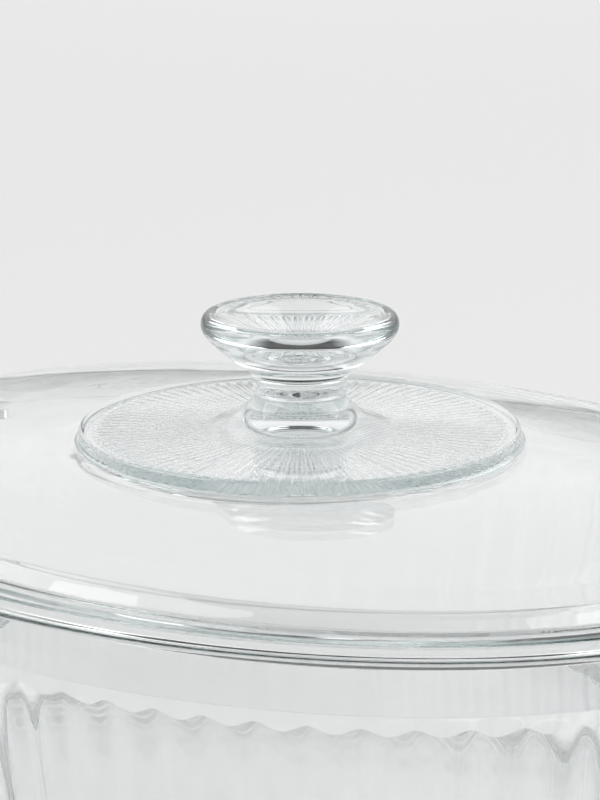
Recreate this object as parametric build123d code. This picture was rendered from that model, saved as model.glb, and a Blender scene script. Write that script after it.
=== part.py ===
"""Oval covered casserole in pressed glass: a fluted dish, and a domed lid with its knob pressed in one.

Millimetres, +Z up. The origin is the centre of the dish's foot, on the surface that it stands on, and
X runs along the oval's long axis. An inset is a distance inwards from the lid's edge, all round the
oval, and a lid height is measured from the lid's seat on the rim.
"""
import math
import os

from build123d import *

# Overall
LID_LONG = 148.0  # half length of the lid's edge
LID_SHORT = 118.0  # half width of the lid's edge
DISH_HEIGHT = 85.0  # foot to rim
GLASS = 4.8  # usual wall

# Dish
RIM_INSET = 0.6  # the rim stands back from the lid's edge by this
BAND_HEIGHT = 12.5  # plain band below the rim
WALL_INSET = 2.6  # outside of the wall where the flutes begin
FLUTE_TOP = 69.0  # height at which the flutes begin
DRAFT = math.radians(10.5)
CORNER_R = 14.0  # outside, wall to foot
INNER_CORNER_R = 11.0
FLOOR = 6.0  # thickness under the food
FOOT_RING = 5.0  # width of the ring that the dish stands on
FOOT_RECESS = 0.8  # the middle of the foot is this much higher
RIM_FILLET = 1.2

# Flutes round the dish
FLUTES = 68
FLUTE_R = 14.0  # radius of each hollow
FLUTE_DEPTH = 0.9

# Lug handles at the ends of the dish
LUG_REACH = 17.0  # beyond the rim
LUG_R = 34.0
LUG_THICK = 7.0
LUG_BELOW_RIM = 3.0
LUG_FILLET = 2.4

# Lid, outside, as (inset, height above the seat)
EDGE_ROUND = 0.4
FLANGE_TOP = [(0.0, 3.2), (0.7, 4.0), (7.2, 4.3), (9.2, 5.2), (11.0, 6.5), (14.0, 7.8)]
SHOULDER = (23.0, 9.4)
PLATEAU_FOOT = 16.2
PLATEAU_TOP = 19.5
PLATEAU_R = 55.8
PLATEAU_FOOT_R = 56.6
DOME_STEPS = 6
DOME_POWER = 1.35  # how late the dome turns down towards its shoulder

# Lid, inside
RING_DEPTH = 4.5  # reaches down inside the dish
RING_TOP_INSET = 7.4
RING_BOTTOM_INSET = 7.9
RING_UNDER = [(12.2, -RING_DEPTH), (13.4, 0.0), (15.4, 2.4), (18.6, 3.9)]
SHOULDER_UNDER = (24.0, 4.9)
POCKET_R = 54.6
POCKET_FOOT = 11.7
POCKET_ROOF = 15.2

# Ribbed medallion under the plateau
RIBS = 100
RIB_IN_R = 12.5
RIB_OUT_R = 52.0
RIB_CUT = 0.9  # depth at the outer end
RIB_CUT_IN = 0.25  # depth at the inner end
RIB_SHARE = 0.36  # half width of a groove over the pitch
DIMPLE_R = 10.6
DIMPLE_DEPTH = 1.4

# Knob, as (radius, height above the plateau)
KNOB_FOOT = [(21.0, 0.0), (18.4, 1.6), (15.0, 4.1), (12.5, 6.7), (11.4, 8.5)]
KNOB_WAIST = [(12.1, 9.9), (11.8, 11.6), (12.6, 13.9)]
KNOB_CUP = [(15.5, 16.2), (19.6, 19.4), (23.6, 23.0), (25.0, 26.1)]
KNOB_LIP = [(24.3, 28.4), (22.2, 29.0)]
KNOB_HOLLOW = [(9.0, 24.6), (0.0, 23.6)]  # dished top, down to its lowest point
KNOB_ROOT = 1.0  # how far the knob's foot runs down into the plateau

QUARTER = 90
FULL_TURN = 360


def oval(inset, z):
    """Oval face inset from the lid's edge, at height z."""
    return Pos(0, 0, z) * Ellipse(LID_LONG - inset, LID_SHORT - inset)


def stack(profile, base=0.0):
    """Solid through oval sections given as (inset, height above base)."""
    return loft([oval(inset, base + z) for inset, z in profile], ruled=True)


def wall_inset(z):
    """Inset of the dish's outer wall at height z."""
    return WALL_INSET + (FLUTE_TOP - z) * math.tan(DRAFT)


def corner(radius, floor, offset, steps=5):
    """Rounded corner from the flat bottom at height floor up to the wall, which lies offset inside."""
    end = math.radians(QUARTER) - DRAFT
    end_z = floor + radius * (1 - math.cos(end))
    centre = wall_inset(end_z) + offset + radius * math.sin(end)
    turns = [end * i / steps for i in range(steps + 1)]
    return [(centre - radius * math.sin(t), floor + radius * (1 - math.cos(t))) for t in turns]


def dish_outside():
    """Outer form of the dish, from the foot up to the rim."""
    profile = corner(CORNER_R, 0.0, 0.0)
    profile += [(WALL_INSET, FLUTE_TOP), (RIM_INSET, DISH_HEIGHT - BAND_HEIGHT)]
    profile += [(RIM_INSET, DISH_HEIGHT - RIM_FILLET), (RIM_INSET + RIM_FILLET, DISH_HEIGHT)]
    return stack(profile)


def dish_cavity():
    """Space inside the dish, open above the rim."""
    wall = GLASS / math.cos(DRAFT)
    profile = corner(INNER_CORNER_R, FLOOR, wall)
    return stack(profile + [(wall_inset(DISH_HEIGHT) + wall, DISH_HEIGHT)])


def lugs():
    """Flat rounded handles at both ends, just below the rim."""
    middle = LID_LONG - RIM_INSET + LUG_REACH - LUG_R
    plate = Pos(middle, 0, DISH_HEIGHT - LUG_BELOW_RIM) * Cylinder(
        LUG_R, LUG_THICK, align=(Align.CENTER, Align.CENTER, Align.MAX)
    )
    plate = fillet(plate.edges().filter_by(GeomType.CIRCLE), LUG_FILLET)
    return [plate, mirror(plate, Plane.YZ)]


def flute_cutters():
    """Long round hollows that lie along the drafted wall, evenly spaced round the oval."""
    corner_top = corner(CORNER_R, 0.0, 0.0)[-1][1]
    upper = oval(wall_inset(FLUTE_TOP), FLUTE_TOP).edge()
    lower = oval(wall_inset(corner_top), corner_top).edge()
    cutters = []
    for i in range(FLUTES):
        head, tail = upper @ (i / FLUTES), lower @ (i / FLUTES)
        along = (head - tail).normalized()
        outwards = Vector(head.X / LID_LONG**2, head.Y / LID_SHORT**2, 0).normalized()
        middle = (head + tail) * 0.5 + outwards * (FLUTE_R - FLUTE_DEPTH)
        length = (head - tail).length
        cutters.append(Plane(middle, z_dir=along) * Cylinder(FLUTE_R, length))
    return cutters


def foot_recess():
    """Shallow hollow under the foot, which leaves a ring to stand on."""
    edge = corner(CORNER_R, 0.0, 0.0)[0][0] + FOOT_RING
    return stack([(edge, 0.0), (edge + FOOT_RECESS, FOOT_RECESS)])


def make_dish():
    body = dish_outside() + lugs()
    body = body - flute_cutters()
    return body - dish_cavity() - foot_recess()


def dome(start, centre_r, rise_to):
    """Oval sections that turn into a circle, from start = (inset, height) up to a circle."""
    inset, z = start
    long_r, short_r = LID_LONG - inset, LID_SHORT - inset
    faces = []
    for i in range(DOME_STEPS + 1):
        share = 1 - i / DOME_STEPS
        height = rise_to - (rise_to - z) * share**DOME_POWER
        size = (centre_r + (long_r - centre_r) * share, centre_r + (short_r - centre_r) * share)
        faces.append(Pos(0, 0, DISH_HEIGHT + height) * Ellipse(*size))
    return loft(faces, ruled=True)


def lid_outside():
    """Flange, shoulder, dome and plateau as one form."""
    edge = stack([(EDGE_ROUND, 0.0), (0.0, EDGE_ROUND)] + FLANGE_TOP + [SHOULDER], DISH_HEIGHT)
    ring = stack([(RING_BOTTOM_INSET, -RING_DEPTH), (RING_TOP_INSET, EDGE_ROUND)], DISH_HEIGHT)
    plateau = Pos(0, 0, DISH_HEIGHT + PLATEAU_FOOT) * Cone(
        PLATEAU_FOOT_R, PLATEAU_R, PLATEAU_TOP - PLATEAU_FOOT, align=(Align.CENTER, Align.CENTER, Align.MIN)
    )
    return edge + ring + dome(SHOULDER, PLATEAU_FOOT_R, PLATEAU_FOOT) + plateau


def lid_hollow():
    """Space under the lid: inside of the ring, inside of the dome and the medallion's pocket."""
    under = stack(RING_UNDER + [SHOULDER_UNDER], DISH_HEIGHT)
    pocket = Pos(0, 0, DISH_HEIGHT + POCKET_FOOT) * Cylinder(
        POCKET_R, POCKET_ROOF - POCKET_FOOT, align=(Align.CENTER, Align.CENTER, Align.MIN)
    )
    return under + dome(SHOULDER_UNDER, POCKET_R, POCKET_FOOT) + pocket


def rib_cutters():
    """Tapered round grooves that run outwards under the plateau and leave ribs between them."""
    pitch_in = 2 * math.pi * RIB_IN_R / RIBS
    pitch_out = 2 * math.pi * RIB_OUT_R / RIBS
    groove = Cone(pitch_in * RIB_SHARE, pitch_out * RIB_SHARE, RIB_OUT_R - RIB_IN_R)
    groove = Rot(0, QUARTER, 0) * groove
    middle = (RIB_IN_R + RIB_OUT_R) / 2
    lift = DISH_HEIGHT + POCKET_ROOF + (RIB_CUT + RIB_CUT_IN) / 2 - pitch_out * RIB_SHARE / 2
    return [Rot(0, 0, FULL_TURN * i / RIBS) * Pos(middle, 0, lift) * groove for i in range(RIBS)]


def dimple():
    """Shallow round dimple under the knob."""
    radius = (DIMPLE_R**2 + DIMPLE_DEPTH**2) / (2 * DIMPLE_DEPTH)
    return Pos(0, 0, DISH_HEIGHT + POCKET_ROOF + DIMPLE_DEPTH - radius) * Sphere(radius)


def knob():
    """Solid knob: a flared foot, a beaded waist and a cup-shaped head with a dished top."""
    with BuildPart() as turned:
        with BuildSketch(Plane.XZ):
            with BuildLine():
                foot = Spline(*KNOB_FOOT)
                waist = Spline(foot @ 1, *KNOB_WAIST)
                cup = Spline(waist @ 1, *KNOB_CUP)
                lip = ThreePointArc(cup @ 1, *KNOB_LIP)
                Spline(lip @ 1, *KNOB_HOLLOW, tangents=((-1, -1), (-1, 0)))
                Polyline(KNOB_HOLLOW[-1], (0, -KNOB_ROOT), (KNOB_FOOT[0][0], -KNOB_ROOT), KNOB_FOOT[0])
            make_face()
        revolve(axis=Axis.Z)
    return Pos(0, 0, DISH_HEIGHT + PLATEAU_TOP) * turned.part


def make_lid():
    shell = lid_outside() - lid_hollow() - rib_cutters() - dimple()
    return shell + knob()


def main():
    os.makedirs("parts", exist_ok=True)
    for name, shape in {"dish": make_dish(), "lid": make_lid()}.items():
        shape.label = name
        export_step(shape, f"parts/{name}.step")


main()
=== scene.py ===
"""Oval covered casserole in clear pressed glass, on a pale floor in soft studio light.

The file is laid out as an add-on and is run as a script. Lengths in the outlines are millimetres and
become metres when a piece is built. An outline is a list of (half length, height, rounding) corners of
the section along the oval's long axis.
"""

import math

import bmesh
import bpy
from mathutils import Matrix, Vector, geometry


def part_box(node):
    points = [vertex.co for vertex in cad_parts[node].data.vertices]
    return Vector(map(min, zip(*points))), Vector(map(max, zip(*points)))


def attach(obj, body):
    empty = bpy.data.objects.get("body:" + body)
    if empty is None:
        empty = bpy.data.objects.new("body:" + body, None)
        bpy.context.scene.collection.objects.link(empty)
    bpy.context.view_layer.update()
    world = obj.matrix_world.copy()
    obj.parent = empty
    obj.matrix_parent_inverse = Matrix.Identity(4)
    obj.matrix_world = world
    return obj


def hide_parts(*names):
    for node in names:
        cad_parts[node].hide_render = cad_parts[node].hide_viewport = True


bl_info = {
    "name": "Pressed Glass Casserole",
    "version": (1, 0, 0),
    "blender": (4, 5, 0),
    "location": "View3D > Sidebar > Casserole",
    "description": "Builds an oval glass casserole, its domed lid and a studio to show them in",
    "category": "Add Mesh",
}

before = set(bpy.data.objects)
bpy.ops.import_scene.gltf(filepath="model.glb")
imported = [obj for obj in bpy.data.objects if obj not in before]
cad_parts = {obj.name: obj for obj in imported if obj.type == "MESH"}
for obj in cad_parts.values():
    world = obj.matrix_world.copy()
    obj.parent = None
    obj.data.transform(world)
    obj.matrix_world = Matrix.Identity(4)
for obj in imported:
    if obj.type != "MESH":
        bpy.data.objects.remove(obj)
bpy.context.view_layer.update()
LID_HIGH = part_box("lid")[1]
DISH_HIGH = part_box("dish")[1]
MM = 0.001


# Outlines

HOLD = 0.25  # a row this far from a rounding keeps the flat beside it flat when it is shaded
HOLD_FROM = 0.85  # smaller roundings have no such row and stay soft lines
ROUND_STEPS = 4
SMOOTH_STEPS = 3


def rounded(corners):
    """Points of a path of straight runs, with each corner (across, up, radius) rounded to its radius."""
    points = [Vector(corners[0][:2])]
    for before, corner, after in zip(corners, corners[1:], corners[2:]):
        middle, radius = Vector(corner[:2]), corner[2]
        back = (Vector(before[:2]) - middle).normalized()
        ahead = (Vector(after[:2]) - middle).normalized()
        half = back.angle(ahead) / 2
        if radius == 0:
            points.append(middle)
            continue
        centre = middle + (back + ahead).normalized() * (radius / math.sin(half))
        start = middle + back * (radius / math.tan(half)) - centre
        end = middle + ahead * (radius / math.tan(half)) - centre
        shares = [i / ROUND_STEPS for i in range(ROUND_STEPS + 1)]
        arc = [centre + start.slerp(end, share) * radius for share in shares]
        if radius > HOLD_FROM:
            arc = [arc[0] + back * HOLD, *arc, arc[-1] + ahead * HOLD]
        points += arc
    return points + [Vector(corners[-1][:2])]


def smooth_run(knots):
    """Points of a smooth curve through the knots, which are (across, up)."""
    knots = [Vector(knot) for knot in knots]
    ends = [knots[0], *knots, knots[-1]]
    points = [knots[0]]
    for i in range(len(knots) - 1):
        reach = (ends[i + 2] - ends[i + 1]).length / 3
        leave = (ends[i + 2] - ends[i]).normalized() * reach
        arrive = (ends[i + 3] - ends[i + 1]).normalized() * reach
        handles = (ends[i + 1], ends[i + 1] + leave, ends[i + 2] - arrive, ends[i + 2])
        points += geometry.interpolate_bezier(*handles, SMOOTH_STEPS + 1)[1:]
    return points


# Settings


class LidSizes(bpy.types.PropertyGroup):
    """Sizes of the lid."""

    long_radius: bpy.props.FloatProperty(
        name="Long radius", description="Centre to the lid's edge at its ends",
        default=LID_HIGH.x, unit="LENGTH",
    )
    short_radius: bpy.props.FloatProperty(
        name="Short radius", description="Centre to the lid's edge at its sides",
        default=LID_HIGH.y, unit="LENGTH",
    )
    seat: bpy.props.FloatProperty(
        name="Seat", description="Height at which the lid's flange rests on the rim",
        default=DISH_HIGH.z, unit="LENGTH",
    )
    ribs: bpy.props.IntProperty(
        name="Ribs", description="Ribs in the medallion under the knob", default=100,
    )
    rib_depth: bpy.props.FloatProperty(
        name="Rib depth", description="How far the ribs stand out under the plateau",
        default=0.8 * MM, unit="LENGTH",
    )


class DishSizes(bpy.types.PropertyGroup):
    """Sizes of the dish."""

    rim_height: bpy.props.FloatProperty(
        name="Rim height", description="Foot to rim", default=DISH_HIGH.z, unit="LENGTH",
    )
    flutes: bpy.props.IntProperty(
        name="Flutes", description="Hollow flutes round the wall", default=68,
    )
    flute_depth: bpy.props.FloatProperty(
        name="Flute depth", description="How deep each flute is pressed",
        default=0.9 * MM, unit="LENGTH",
    )


class GlassLook(bpy.types.PropertyGroup):
    """Colour and clearness of the glass."""

    tint: bpy.props.StringProperty(
        name="Tint", description="sRGB colour that a thick piece of the glass turns towards",
        default="#5FA5A5",
    )
    absorption: bpy.props.FloatProperty(
        name="Absorption", description="How strongly the glass takes on its tint, per metre",
        default=4.0, min=0.0,
    )
    refraction: bpy.props.FloatProperty(
        name="Refractive index", description="1.52 for soda-lime glass", default=1.52,
    )


class StudioLook(bpy.types.PropertyGroup):
    """Camera and light."""

    azimuth: bpy.props.FloatProperty(
        name="Azimuth", description="Camera's turn round the dish from the front",
        default=math.radians(42.5), subtype="ANGLE",
    )
    elevation: bpy.props.FloatProperty(
        name="Elevation", description="Camera's height above the plateau, as an angle",
        default=math.radians(14.54), subtype="ANGLE",
    )
    distance: bpy.props.FloatProperty(
        name="Distance", description="Camera to the middle of the plateau",
        default=0.871, unit="LENGTH",
    )
    lens: bpy.props.FloatProperty(
        name="Lens", description="Focal length in millimetres", default=154.8,
    )
    floor_colour: bpy.props.StringProperty(
        name="Floor colour", description="sRGB colour of the pale floor", default="#F1F1F1",
    )


# Materials


def linear(hex_colour):
    """Linear RGBA of an sRGB hex colour."""
    parts = [int(hex_colour[i : i + 2], 16) / 255 for i in (1, 3, 5)]
    return [c / 12.92 if c <= 0.04045 else ((c + 0.055) / 1.055) ** 2.4 for c in parts] + [1.0]


def add_node(tree, kind, links=None, **inputs):
    """Adds a node, sets its properties and inputs by name and links the sockets given."""
    node = tree.nodes.new(kind)
    for name, value in inputs.items():
        if hasattr(node, name):
            setattr(node, name, value)
        else:
            node.inputs[name.replace("_", " ")].default_value = value
    for name, socket in (links or {}).items():
        tree.links.new(socket, node.inputs[name])
    return node


WAVE_LENGTH = 0.022  # the faint waves that pressing leaves in a fire-polished face, in metres
WAVE_HEIGHT = 0.00007
PAINT_ROUGHNESS = 0.9


def pressed_glass(look):
    """Pressed soda-lime glass, fire-polished: clear, and blue-green only where light runs far in it.

    The faces are smooth but never quite true, so reflections in them waver a little.
    """
    material = bpy.data.materials.new("pressed_soda_lime_glass")
    material.use_nodes = True
    tree = material.node_tree
    tree.nodes.clear()
    out = tree.nodes.new("ShaderNodeOutputMaterial")
    shader = add_node(
        tree, "ShaderNodeBsdfPrincipled",
        Base_Color=(1, 1, 1, 1), Roughness=0.0, IOR=look.refraction, Transmission_Weight=1.0,
    )
    place = add_node(tree, "ShaderNodeTexCoord").outputs["Object"]
    waves = add_node(
        tree, "ShaderNodeTexNoise", {"Vector": place}, Scale=1 / WAVE_LENGTH, Detail=1.0,
    )
    surface = add_node(
        tree, "ShaderNodeBump", {"Height": waves.outputs["Fac"]}, Distance=WAVE_HEIGHT, Strength=1.0,
    )
    tree.links.new(surface.outputs["Normal"], shader.inputs["Normal"])
    inside = add_node(
        tree, "ShaderNodeVolumeAbsorption", Color=linear(look.tint), Density=look.absorption
    )
    tree.links.new(shader.outputs["BSDF"], out.inputs["Surface"])
    tree.links.new(inside.outputs["Volume"], out.inputs["Volume"])
    return material


def floor_paint(colour):
    """Matt white-painted board: even and pale, with no shine."""
    material = bpy.data.materials.new("matt_painted_board")
    material.use_nodes = True
    shader = material.node_tree.nodes["Principled BSDF"]
    shader.inputs["Base Color"].default_value = linear(colour)
    shader.inputs["Roughness"].default_value = PAINT_ROUGHNESS
    shader.inputs["Specular IOR Level"].default_value = 0.0
    return material


# Mesh work

WELD = 0.002  # points nearer than this are one point
JOIN_REACH = 1.5  # how far from its radius an open edge may lie and still be bridged


def turned(bm, outline, steps):
    """Adds an outline of (radius, height) points, turned about the axis in a number of steps.

    A quarter is spun and then doubled twice, which is much quicker than one long spin.
    """
    row = [bm.verts.new((point[0] * MM, 0.0, point[1] * MM)) for point in outline]
    edges = [bm.edges.new(pair) for pair in zip(row, row[1:])]
    others = set(bm.verts) - set(row)
    quarter = {"cent": (0, 0, 0), "axis": (0, 0, 1), "angle": math.tau / 4}
    bmesh.ops.spin(bm, geom=row + edges, steps=steps // 4, **quarter)
    for angle in (math.tau / 4, math.tau / 2):
        verts = [vert for vert in bm.verts if vert not in others]
        part = set(verts)
        part.update(edge for vert in verts for edge in vert.link_edges)
        part.update(face for vert in verts for face in vert.link_faces)
        copied = bmesh.ops.duplicate(bm, geom=list(part))["geom"]
        verts = [item for item in copied if isinstance(item, bmesh.types.BMVert)]
        bmesh.ops.rotate(bm, verts=verts, cent=(0, 0, 0), matrix=Matrix.Rotation(angle, 3, "Z"))
    bmesh.ops.remove_doubles(bm, verts=bm.verts, dist=WELD * MM)


def join_shells(bm, radius):
    """Bridges the two open edges that lie about a radius, whatever their numbers of segments."""
    near = [
        edge for edge in bm.edges
        if edge.is_boundary and abs(edge.verts[0].co.xy.length / MM - radius) < JOIN_REACH
    ]
    bmesh.ops.bridge_loops(bm, edges=near)


def finish_piece(bm, name, body, material):
    """Closes the mesh work of a piece, makes it stand for its node and sets its finish."""
    bmesh.ops.recalc_face_normals(bm, faces=bm.faces)
    for face in bm.faces:
        face.smooth = True
    mesh = bpy.data.meshes.new(name)
    bm.to_mesh(mesh)
    bm.free()
    mesh.materials.append(material)
    piece = bpy.data.objects.new(name, mesh)
    bpy.context.scene.collection.objects.link(piece)
    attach(piece, body)
    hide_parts(body)


# Lid. Heights are above the seat, and the knob's are above the plateau.

PLATEAU_TOP = 19.5
PLATEAU_R = 55.8
PLATEAU_FOOT = 16.2
PLATEAU_FOOT_R = 56.6
PLATEAU_ROUND = 0.9
SHOULDER_INSET = 23.0
SHOULDER_HEIGHT = 9.4
DOME_UNDER = 11.7
SHOULDER_UNDER = 4.9
DOME_POWER = 1.5  # how late the dome turns down in the outline
DOME_STEEP_SIDES, DOME_STEEP_ENDS = 1.05, 1.7  # and how late it does so at the oval's sides and ends
POCKET_FOOT_R, POCKET_R = 55.2, 54.6  # wall of the pocket under the plateau
ROOF = 15.2
RIB_FROM, RIB_TO = 11.2, 51.4
RIB_HALF_WIDTH = 0.36  # over the pitch
RIB_ROUNDNESS = 0.7  # power of the rib's section: 0.5 is half an oval, 1 is a parabola
RIB_END = 1.7  # length of the rib's rounded outer end
# Rows of points across the ribs, as distances in from their outer ends, closest at both ends
RIB_ROWS = (0.0, 0.15, 0.4, 0.8, 1.3, 2.1, 3.2, 5.0, 12.0, 20.0, 28.0, 36.0, 39.0, 40.6, 41.2)
DIMPLE_R = 10.6
DIMPLE_DEPTH = 1.4
DIMPLE_RUN = 8
KNOB_HOLLOW = [(0.0, 23.6), (4.0, 23.8), (9.0, 24.6), (14.5, 26.0), (19.0, 27.6), (21.8, 28.8)]
KNOB_LIP = [(22.6, 29.0), (23.6, 28.8), (24.4, 28.2), (24.9, 27.2), (25.0, 26.1), (24.9, 25.2)]
KNOB_CUP = [(24.5, 24.3), (23.6, 23.0), (21.8, 21.3), (19.6, 19.4), (17.5, 17.7), (15.5, 16.2)]
KNOB_WAIST = [(13.8, 15.0), (12.6, 13.9), (12.0, 12.7), (11.8, 11.6), (12.0, 10.6), (12.1, 9.9)]
KNOB_FLARE = [(11.9, 9.1), (11.4, 8.5), (11.7, 7.8), (12.5, 6.7), (13.6, 5.4), (15.0, 4.1)]
KNOB_FOOT = [(16.6, 2.9), (18.4, 1.8), (20.3, 0.85), (22.0, 0.25), (23.0, 0.0)]
# Lid's rim, outside and then inside, as (inset from the edge, height, rounding)
LID_RIM = [
    (SHOULDER_INSET, SHOULDER_HEIGHT, 6.0), (12.5, 7.3, 5.0), (8.6, 4.4, 1.2), (0.0, 4.0, 1.0),
    (0.0, 0.15, 0.9), (7.4, 0.15, 0.4), (7.9, -4.5, 1.2), (12.2, -4.5, 1.2), (13.4, 0.6, 3.0),
    (17.5, 3.8, 4.0), (24.0, SHOULDER_UNDER, 0),
]
# The lid is turned as three shells, each as fine as it needs, and these are their steps and joins.
DOME_RUN = 10
KNOB_STEPS = 200
BODY_STEPS = 400
RIB_STEPS = 10  # for each rib
KNOB_JOIN = 24.0
RIB_JOIN = 53.4
JOIN_GAP = 0.3


def dome_run(foot, shoulder):
    """Corners of the dome from the plateau's foot out to the shoulder, both left out."""
    span = LID_HIGH.x / MM - SHOULDER_INSET - PLATEAU_FOOT_R
    shares = [i / DOME_RUN for i in range(1, DOME_RUN)]
    return [(PLATEAU_FOOT_R + span * s, foot - (foot - shoulder) * s**DOME_POWER, 0) for s in shares]


def knob_outline():
    """Section of the knob, from its dished top down to the flat of the plateau."""
    knob = smooth_run(KNOB_HOLLOW + KNOB_LIP + KNOB_CUP + KNOB_WAIST + KNOB_FLARE + KNOB_FOOT)
    knob = [(x, z + PLATEAU_TOP) for x, z in knob]
    return knob + [(KNOB_JOIN - JOIN_GAP, PLATEAU_TOP)]


def body_outline():
    """Section of the lid from the plateau over the dome and the rim and back under the plateau."""
    edge = LID_HIGH.x / MM
    top = [(KNOB_JOIN + JOIN_GAP, PLATEAU_TOP, 0), (PLATEAU_R, PLATEAU_TOP, PLATEAU_ROUND)]
    top += [(PLATEAU_FOOT_R, PLATEAU_FOOT, PLATEAU_ROUND)] + dome_run(PLATEAU_FOOT, SHOULDER_HEIGHT)
    rim = [(edge - inset, height, radius) for inset, height, radius in LID_RIM]
    under = dome_run(DOME_UNDER, SHOULDER_UNDER)[::-1] + [(PLATEAU_FOOT_R, DOME_UNDER, 0)]
    under += [(POCKET_FOOT_R, DOME_UNDER, 0.5), (POCKET_R, ROOF, 0.2), (RIB_JOIN + JOIN_GAP, ROOF, 0)]
    return rounded(top + rim + under)


def medallion_outline():
    """Section of the underside of the plateau: the ribs, and the smooth dimple under the knob."""
    ribs = [(RIB_JOIN - JOIN_GAP, ROOF, 0)] + [(RIB_TO - row, ROOF, 0) for row in RIB_ROWS]
    shares = [1 - i / DIMPLE_RUN for i in range(DIMPLE_RUN + 1)]
    dimple = [(DIMPLE_R * s, ROOF + DIMPLE_DEPTH * (1 - s**2), 0) for s in shares]
    return rounded(ribs + [(RIB_FROM, ROOF, 0)] + dimple)


def lid_point(co, sizes):
    """Moves a point of the turned lid onto the oval, dome and ribs."""
    radius, turn = co.xy.length, math.atan2(co.y, co.x)
    foot = PLATEAU_FOOT_R * MM
    shoulder = sizes.long_radius - SHOULDER_INSET * MM
    share = min(max((radius - foot) / (shoulder - foot), 0.0), 1.0)
    narrower = sizes.long_radius - sizes.short_radius
    across = radius - narrower * share
    z = co.z
    if 0 < share < 1:
        drop = (PLATEAU_FOOT - SHOULDER_HEIGHT) * MM
        steepness = DOME_STEEP_SIDES + (DOME_STEEP_ENDS - DOME_STEEP_SIDES) * math.cos(turn) ** 2
        z += drop * (share**DOME_POWER - share**steepness)
    under_plateau = co.z < (PLATEAU_TOP + ROOF) / 2 * MM
    if under_plateau and RIB_FROM * MM < radius < RIB_TO * MM:
        off_rib = abs((turn * sizes.ribs / math.tau) % 1.0 - 0.5) / RIB_HALF_WIDTH
        wave = max(1.0 - off_rib**2, 0.0) ** RIB_ROUNDNESS
        from_end = min(1.0, (RIB_TO * MM - radius) / (RIB_END * MM))
        fade = math.sqrt(from_end * (2 - from_end)) * math.sqrt(radius / (RIB_TO * MM))
        z -= sizes.rib_depth * wave * fade
    return Vector((radius * math.cos(turn), across * math.sin(turn), z + sizes.seat))


class CASSEROLE_OT_lid(bpy.types.Operator):
    """Builds the domed lid with its knob and ribbed medallion"""

    bl_idname = "casserole.lid"
    bl_label = "Lid"

    def execute(self, context):
        sizes = context.scene.casserole_lid
        bm = bmesh.new()
        turned(bm, knob_outline(), KNOB_STEPS)
        turned(bm, body_outline(), BODY_STEPS)
        turned(bm, medallion_outline(), sizes.ribs * RIB_STEPS)
        join_shells(bm, KNOB_JOIN)
        join_shells(bm, RIB_JOIN)
        for vert in bm.verts:
            vert.co = lid_point(vert.co, sizes)
        finish_piece(bm, "glass_lid", "lid", pressed_glass(context.scene.casserole_glass))
        return {"FINISHED"}


# Dish. Heights are above the foot.

BAND = 12.5
WALL_INSET = 2.6
FLUTE_TOP = 69.0
FLUTE_END = 14.0
DRAFT = math.radians(10.5)
WALL = 4.8
FLOOR = 6.0
FLUTE_STEPS = 10
WALL_ROWS = 10
RIM_INSET = 0.6
RINGS_FROM = 34.0  # further in than this inset, the oval's rings shrink evenly to the centre
FLUTES_FROM = 3.0  # height where the flutes fade in on the rounded corner
FLUTE_ROUNDNESS = 0.8  # power of the flute's wave: lower is a wider hollow
FLUTE_LEDGE = 0.6  # the flutes run this far past their top, onto the ledge below the band
SCALLOP = 2.59  # fall of the flutes' upper line for each unit of their depth
SCALLOP_FROM = 55.0  # height where the flutes start to lean down to that line
# Foot and rounded corner, as (inset from the lid's edge, height, rounding)
DISH_FOOT = [(35.6, 0.8, 0.4), (34.1, 0.0, 0.8), (27.6, 0.0, 0), (21.6, 1.3, 10.0), (16.1, 6.2, 10.0)]
WALL_BEND = 8.0
MID_WALL = 40.0
FLOOR_ROUND = 11.0
FLOOR_RING = 60.0
LUG_REACH = 17.0
LUG_R = 34.0
LUG_THICK = 7.0
LUG_TOP = 82.0
LUG_BLEND = 6.0  # reach over which a lug grows out of the band
LUG_NOSE = 0.36  # radius of the lug's rounded edge over its thickness
LUG_NOSE_STEPS = 8
LUG_MARGIN = 0.9  # the rows that swell into a lug lie this far past it on the band
# The lug's flat faces, as (reach, flare)
LUG_FACE = [(0.3, 0.25), (1.2, 0.0), (4.0, 0.0), (8.0, 0.0), (12.0, 0.0)]
LUG_ROOT = 0.8  # flare of the lug where it meets the band
SAME_ROW = 0.01
OVAL_STEPS = 2048


def wall_inset(height):
    """Inset of the outside of the wall at a height."""
    return WALL_INSET + (FLUTE_TOP - height) * math.tan(DRAFT)


def lug_rows():
    """Rows of the rim band that swell into the lugs: (height on the band, share of the reach, height)."""
    low, high = LUG_TOP - LUG_THICK, LUG_TOP
    round_r = LUG_THICK * LUG_NOSE
    rows = [(0.0, low - LUG_ROOT)] + [(out, low - flare) for out, flare in LUG_FACE]
    turns = [math.pi * i / LUG_NOSE_STEPS for i in range(LUG_NOSE_STEPS + 1)]
    nose = [(LUG_REACH - round_r * (1 - math.sin(t)), t) for t in turns]
    rows += [(out, (low + high) / 2 - (LUG_THICK / 2) * math.cos(t)) for out, t in nose]
    rows += [(out, high + flare) for out, flare in LUG_FACE[::-1]] + [(0.0, high + LUG_ROOT)]
    start = low - LUG_MARGIN
    step = (high - low + 2 * LUG_MARGIN) / (len(rows) + 1)
    return [(start + step * i, out / LUG_REACH, z) for i, (out, z) in enumerate(rows, 1)]


LUG_ROWS = lug_rows()


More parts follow.
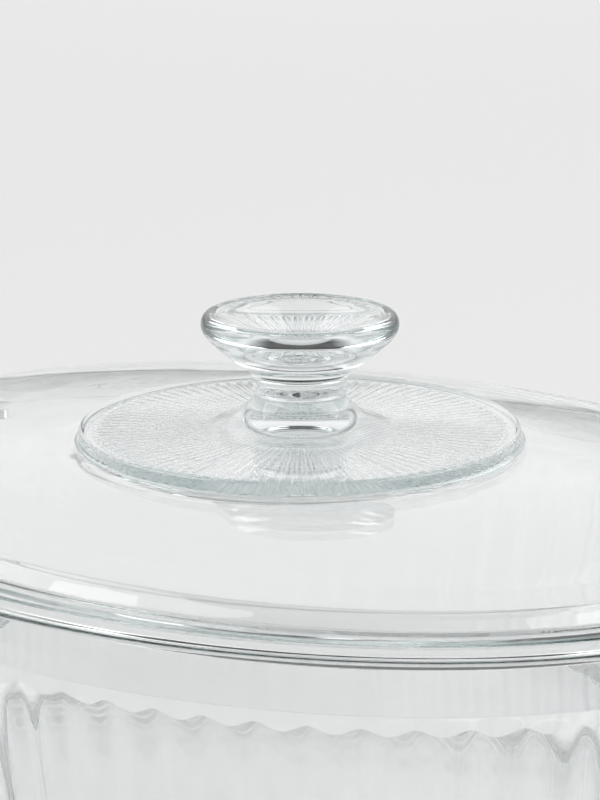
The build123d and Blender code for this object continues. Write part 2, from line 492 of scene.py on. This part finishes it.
def dish_outline(rim):
    """Section of the dish, whose rim is that high, from the centre of its foot round to its floor's."""
    edge = LID_HIGH.x / MM
    inner = WALL / math.cos(DRAFT)
    rows = [FLUTE_END + (FLUTE_TOP - FLUTE_END) * i / WALL_ROWS for i in range(1, WALL_ROWS)]
    corners = [(0.0, DISH_FOOT[0][1], 0)]
    corners += [(edge - inset, height, radius) for inset, height, radius in DISH_FOOT]
    corners += [(edge - wall_inset(FLUTE_END), FLUTE_END, WALL_BEND)]
    corners += [(edge - wall_inset(z), z, 0) for z in rows]
    corners += [(edge - WALL_INSET, FLUTE_TOP, 0.4), (edge - RIM_INSET, rim - BAND, 0.8)]
    corners += [(edge - RIM_INSET, height, 0) for height, _, _ in LUG_ROWS]
    corners += [(edge - RIM_INSET, rim, 1.0), (edge - wall_inset(rim) - inner, rim, 1.2)]
    corners += [(edge - wall_inset(MID_WALL) - inner, MID_WALL, 0)]
    corners += [(edge - wall_inset(FLOOR) - inner, FLOOR, FLOOR_ROUND)]
    return rounded(corners + [(FLOOR_RING, FLOOR, 0), (0.0, FLOOR, 0)])


def arc_turns(long_radius, short_radius):
    """Share of the oval's length that each small step of a full turn has reached, as a turn."""
    step = math.tau / OVAL_STEPS
    lengths = [0.0]
    for i in range(OVAL_STEPS):
        turn = (i + 0.5) * step
        lengths.append(
            lengths[-1] + math.hypot(long_radius * math.sin(turn), short_radius * math.cos(turn))
        )
    return [length / lengths[-1] * math.tau for length in lengths]


def even_turn(turn, table):
    """Turn whose share of the oval's length is turn's share of a full turn."""
    low, high = 0, len(table) - 1
    while high - low > 1:
        middle = (low + high) // 2
        low, high = (middle, high) if table[middle] <= turn else (low, middle)
    part = (turn - table[low]) / (table[high] - table[low])
    return (low + part) * math.tau / (len(table) - 1)


def flute_shift(even, height, sizes):
    """Inset and fall, in millimetres, that the flutes give to a point of the outer wall."""
    wave = (0.5 + 0.5 * math.cos(even * sizes.flutes)) ** FLUTE_ROUNDNESS
    depth = sizes.flute_depth / MM * wave
    fade = min(1.0, max(0.0, (height - FLUTES_FROM) / (FLUTE_END - FLUTES_FROM)))
    lean = min(1.0, max(0.0, (height - SCALLOP_FROM) / (FLUTE_TOP - SCALLOP_FROM)))
    fall = SCALLOP * depth * lean
    return depth * fade + fall * math.tan(DRAFT), fall


def lug_shift(place, outwards, height):
    """Reach, as a length, and height that a lug gives to a point on the outside of the rim band."""
    centre = Vector((math.copysign(LID_HIGH.x - (RIM_INSET - LUG_REACH + LUG_R) * MM, place.x), 0))
    from_centre = place - centre
    along = from_centre.dot(outwards)
    reach = math.sqrt(max(along**2 - from_centre.length_squared + (LUG_R * MM) ** 2, 0.0)) - along
    reach = max(reach, 0.0)
    grown = min(reach / (LUG_BLEND * MM), 1.0)
    grown = grown * grown * (3 - 2 * grown)
    share, lug_height = next((s, z) for h, s, z in LUG_ROWS if abs(h - height) < SAME_ROW)
    return outwards * reach * grown * share, height + (lug_height - height) * grown


def dish_point(co, sizes, lid, table):
    """Moves a point of the turned dish onto the oval, its flutes and its lugs."""
    radius = co.xy.length
    even = math.atan2(co.y, co.x) % math.tau
    turn = even_turn(even, table)
    narrower = lid.long_radius - lid.short_radius
    inner = lid.long_radius - RINGS_FROM * MM
    across = radius - narrower * min(radius / inner, 1.0)
    height = co.z / MM
    outside = lid.long_radius - radius < (wall_inset(height) + WALL / 2) * MM
    inset, fall = 0.0, 0.0
    if outside and FLUTES_FROM < height < FLUTE_TOP + FLUTE_LEDGE:
        inset, fall = flute_shift(even, height, sizes)
    place = Vector(((radius - inset * MM) * math.cos(turn), (across - inset * MM) * math.sin(turn)))
    height -= fall
    on_band = outside and LUG_ROWS[0][0] - SAME_ROW < height < LUG_ROWS[-1][0] + SAME_ROW
    if on_band:
        outwards = Vector((place.x / radius**2, place.y / across**2)).normalized()
        shift, height = lug_shift(place, outwards, height)
        place += shift
    return Vector((place.x, place.y, height * MM))


class CASSEROLE_OT_dish(bpy.types.Operator):
    """Builds the fluted dish with its rim band, lugs and foot"""

    bl_idname = "casserole.dish"
    bl_label = "Dish"

    def execute(self, context):
        sizes, lid = context.scene.casserole_dish, context.scene.casserole_lid
        table = arc_turns(lid.long_radius, lid.short_radius)
        bm = bmesh.new()
        turned(bm, dish_outline(sizes.rim_height / MM), sizes.flutes * FLUTE_STEPS)
        for vert in bm.verts:
            vert.co = dish_point(vert.co, sizes, lid, table)
        finish_piece(bm, "glass_dish", "dish", pressed_glass(context.scene.casserole_glass))
        return {"FINISHED"}


# Studio


# Name, shape, turn to the right of the camera and height in degrees, size in metres and power in watts
SOFTBOXES = (
    ("left_softbox", "RECTANGLE", -82.0, 44.0, (1.6, 1.5), 18.0),
    ("right_softbox", "ELLIPSE", 76.0, 46.0, (2.2, 1.9), 25.0),
)
SOFTBOX_DISTANCE = 2.2
AIM = Vector((0, 0, 0.1))
BACKDROP_SIZE = (3.2, 2.0)
BACKDROP_POWER = 42.0
BACKDROP_BEHIND = 2.9
BACKDROP_HEIGHT = 2.2
ROOM_SHARE = 0.12  # brightness of the room on the camera's side over that of the backdrop
BACKDROP_FROM, BACKDROP_TO = -0.1, 0.35  # where the backdrop fades in, as the cosine off its middle
ROOM_GREYS = ((0.0, 0.5), (0.3, 1.05), (0.62, 1.0), (0.86, 0.09))  # (height, grey), overhead last
SENSOR = 36.0  # millimetres
NEAREST = 0.01
LOOK_UP = math.radians(0.405)  # sets the plateau a little below the middle of the picture
FLOOR_R = 12.0
FLOOR_SEGMENTS = 96


def add_softbox(name, shape, turn, height, size, power):
    """Soft light at a turn and height round the dish, which the camera itself doesn't see."""
    lamp = bpy.data.lights.new(name, "AREA")
    lamp.shape = shape
    lamp.size, lamp.size_y = size
    lamp.energy = power
    box = bpy.data.objects.new(name, lamp)
    level = math.cos(height)
    outwards = Vector((math.sin(turn) * level, -math.cos(turn) * level, math.sin(height)))
    reach = outwards * SOFTBOX_DISTANCE
    box.location = AIM + reach
    box.rotation_euler = (-reach).to_track_quat("-Z", "Y").to_euler()
    box.visible_camera = False
    bpy.context.scene.collection.objects.link(box)


def add_backdrop_light(azimuth):
    """Wide light over the floor behind the dish, which keeps the background even."""
    lamp = bpy.data.lights.new("backdrop_light", "AREA")
    lamp.shape = "RECTANGLE"
    lamp.size, lamp.size_y = BACKDROP_SIZE
    lamp.energy = BACKDROP_POWER
    box = bpy.data.objects.new("backdrop_light", lamp)
    behind = Vector((-math.sin(azimuth), math.cos(azimuth), 0)) * BACKDROP_BEHIND
    box.location = (behind.x, behind.y, BACKDROP_HEIGHT)
    box.rotation_euler = (0.0, 0.0, azimuth)
    box.visible_camera = box.visible_glossy = box.visible_transmission = False
    bpy.context.scene.collection.objects.link(box)


def studio_world(studio):
    """Dim room with a bright low backdrop on the far side of the dish."""
    world = bpy.data.worlds.new("soft_studio")
    world.use_nodes = True
    tree = world.node_tree
    tree.nodes.clear()
    out = tree.nodes.new("ShaderNodeOutputWorld")
    place = add_node(tree, "ShaderNodeTexCoord").outputs["Generated"]
    away = add_node(tree, "ShaderNodeVectorMath", {0: place}, operation="DOT_PRODUCT")
    away.inputs[1].default_value = (-math.sin(studio.azimuth), math.cos(studio.azimuth), 0)
    height = add_node(tree, "ShaderNodeSeparateXYZ", {"Vector": place}).outputs["Z"]
    behind = add_node(
        tree, "ShaderNodeMapRange", {"Value": away.outputs["Value"]},
        interpolation_type="SMOOTHSTEP",
        From_Min=BACKDROP_FROM, From_Max=BACKDROP_TO, To_Min=ROOM_SHARE,
    )
    ramp = add_node(tree, "ShaderNodeValToRGB", {"Fac": height})
    stops = ramp.color_ramp.elements
    stops[1].position = ROOM_GREYS[-1][0]
    for position, _ in ROOM_GREYS[1:-1]:
        stops.new(position)
    for stop, (_, grey) in zip(stops, ROOM_GREYS):
        stop.color = (grey, grey, grey, 1)
    light = add_node(
        tree, "ShaderNodeBackground",
        {"Color": ramp.outputs["Color"], "Strength": behind.outputs["Result"]},
    )
    tree.links.new(light.outputs["Background"], out.inputs["Surface"])
    bpy.context.scene.world = world


def add_camera(studio, lid):
    """Camera at its azimuth and elevation from the plateau, a little below the middle of its picture."""
    data = bpy.data.cameras.new("camera")
    data.lens = studio.lens
    data.sensor_width = SENSOR
    data.clip_start = NEAREST
    camera = bpy.data.objects.new("camera", data)
    target = Vector((0, 0, lid.seat + PLATEAU_TOP * MM))
    a, e = studio.azimuth, studio.elevation
    back = Vector((math.sin(a) * math.cos(e), -math.cos(a) * math.cos(e), math.sin(e)))
    camera.location = target + back * studio.distance
    camera.rotation_euler = (math.pi / 2 - e + LOOK_UP, 0.0, a)
    bpy.context.scene.collection.objects.link(camera)
    bpy.context.scene.camera = camera


def add_floor(colour):
    """Large flat floor."""
    bm = bmesh.new()
    bmesh.ops.create_circle(bm, cap_ends=True, segments=FLOOR_SEGMENTS, radius=FLOOR_R)
    mesh = bpy.data.meshes.new("floor")
    bm.to_mesh(mesh)
    bm.free()
    mesh.materials.append(floor_paint(colour))
    floor = bpy.data.objects.new("floor", mesh)
    bpy.context.scene.collection.objects.link(floor)


class CASSEROLE_OT_stage(bpy.types.Operator):
    """Sets up the floor, the soft light and the camera"""

    bl_idname = "casserole.stage"
    bl_label = "Stage"

    def execute(self, context):
        scene = context.scene
        studio = scene.casserole_studio
        add_camera(studio, scene.casserole_lid)
        add_floor(studio.floor_colour)
        studio_world(studio)
        for name, shape, turn, height, size, power in SOFTBOXES:
            turn = studio.azimuth + math.radians(turn)
            add_softbox(name, shape, turn, math.radians(height), size, power)
        add_backdrop_light(studio.azimuth)
        scene.view_settings.view_transform = "Standard"
        # Light crosses many faces in two layers of glass, and no bounce of it is blurred.
        scene.cycles.max_bounces = 32
        scene.cycles.transmission_bounces = 32
        scene.cycles.glossy_bounces = 16
        scene.cycles.diffuse_bounces = 4
        scene.cycles.blur_glossy = 0.0
        return {"FINISHED"}


class CASSEROLE_PT_panel(bpy.types.Panel):
    """Lists the pieces and the stage"""

    bl_label = "Casserole"
    bl_space_type = "VIEW_3D"
    bl_region_type = "UI"
    bl_category = "Casserole"

    def draw(self, context):
        for operator in OPERATORS:
            self.layout.operator(operator.bl_idname)
        for name in SETTINGS:
            group = getattr(context.scene, name)
            for key in group.__annotations__:
                self.layout.prop(group, key)


SETTINGS = {
    "casserole_lid": LidSizes,
    "casserole_dish": DishSizes,
    "casserole_glass": GlassLook,
    "casserole_studio": StudioLook,
}
OPERATORS = (CASSEROLE_OT_stage, CASSEROLE_OT_dish, CASSEROLE_OT_lid)


def register():
    for cls in (*SETTINGS.values(), *OPERATORS, CASSEROLE_PT_panel):
        bpy.utils.register_class(cls)
    for name, group in SETTINGS.items():
        setattr(bpy.types.Scene, name, bpy.props.PointerProperty(type=group))


def unregister():
    for name in SETTINGS:
        delattr(bpy.types.Scene, name)
    for cls in (CASSEROLE_PT_panel, *reversed(OPERATORS), *SETTINGS.values()):
        bpy.utils.unregister_class(cls)


def main():
    register()
    bpy.ops.casserole.stage()
    bpy.ops.casserole.dish()
    bpy.ops.casserole.lid()


if __name__ == "__main__":
    main()
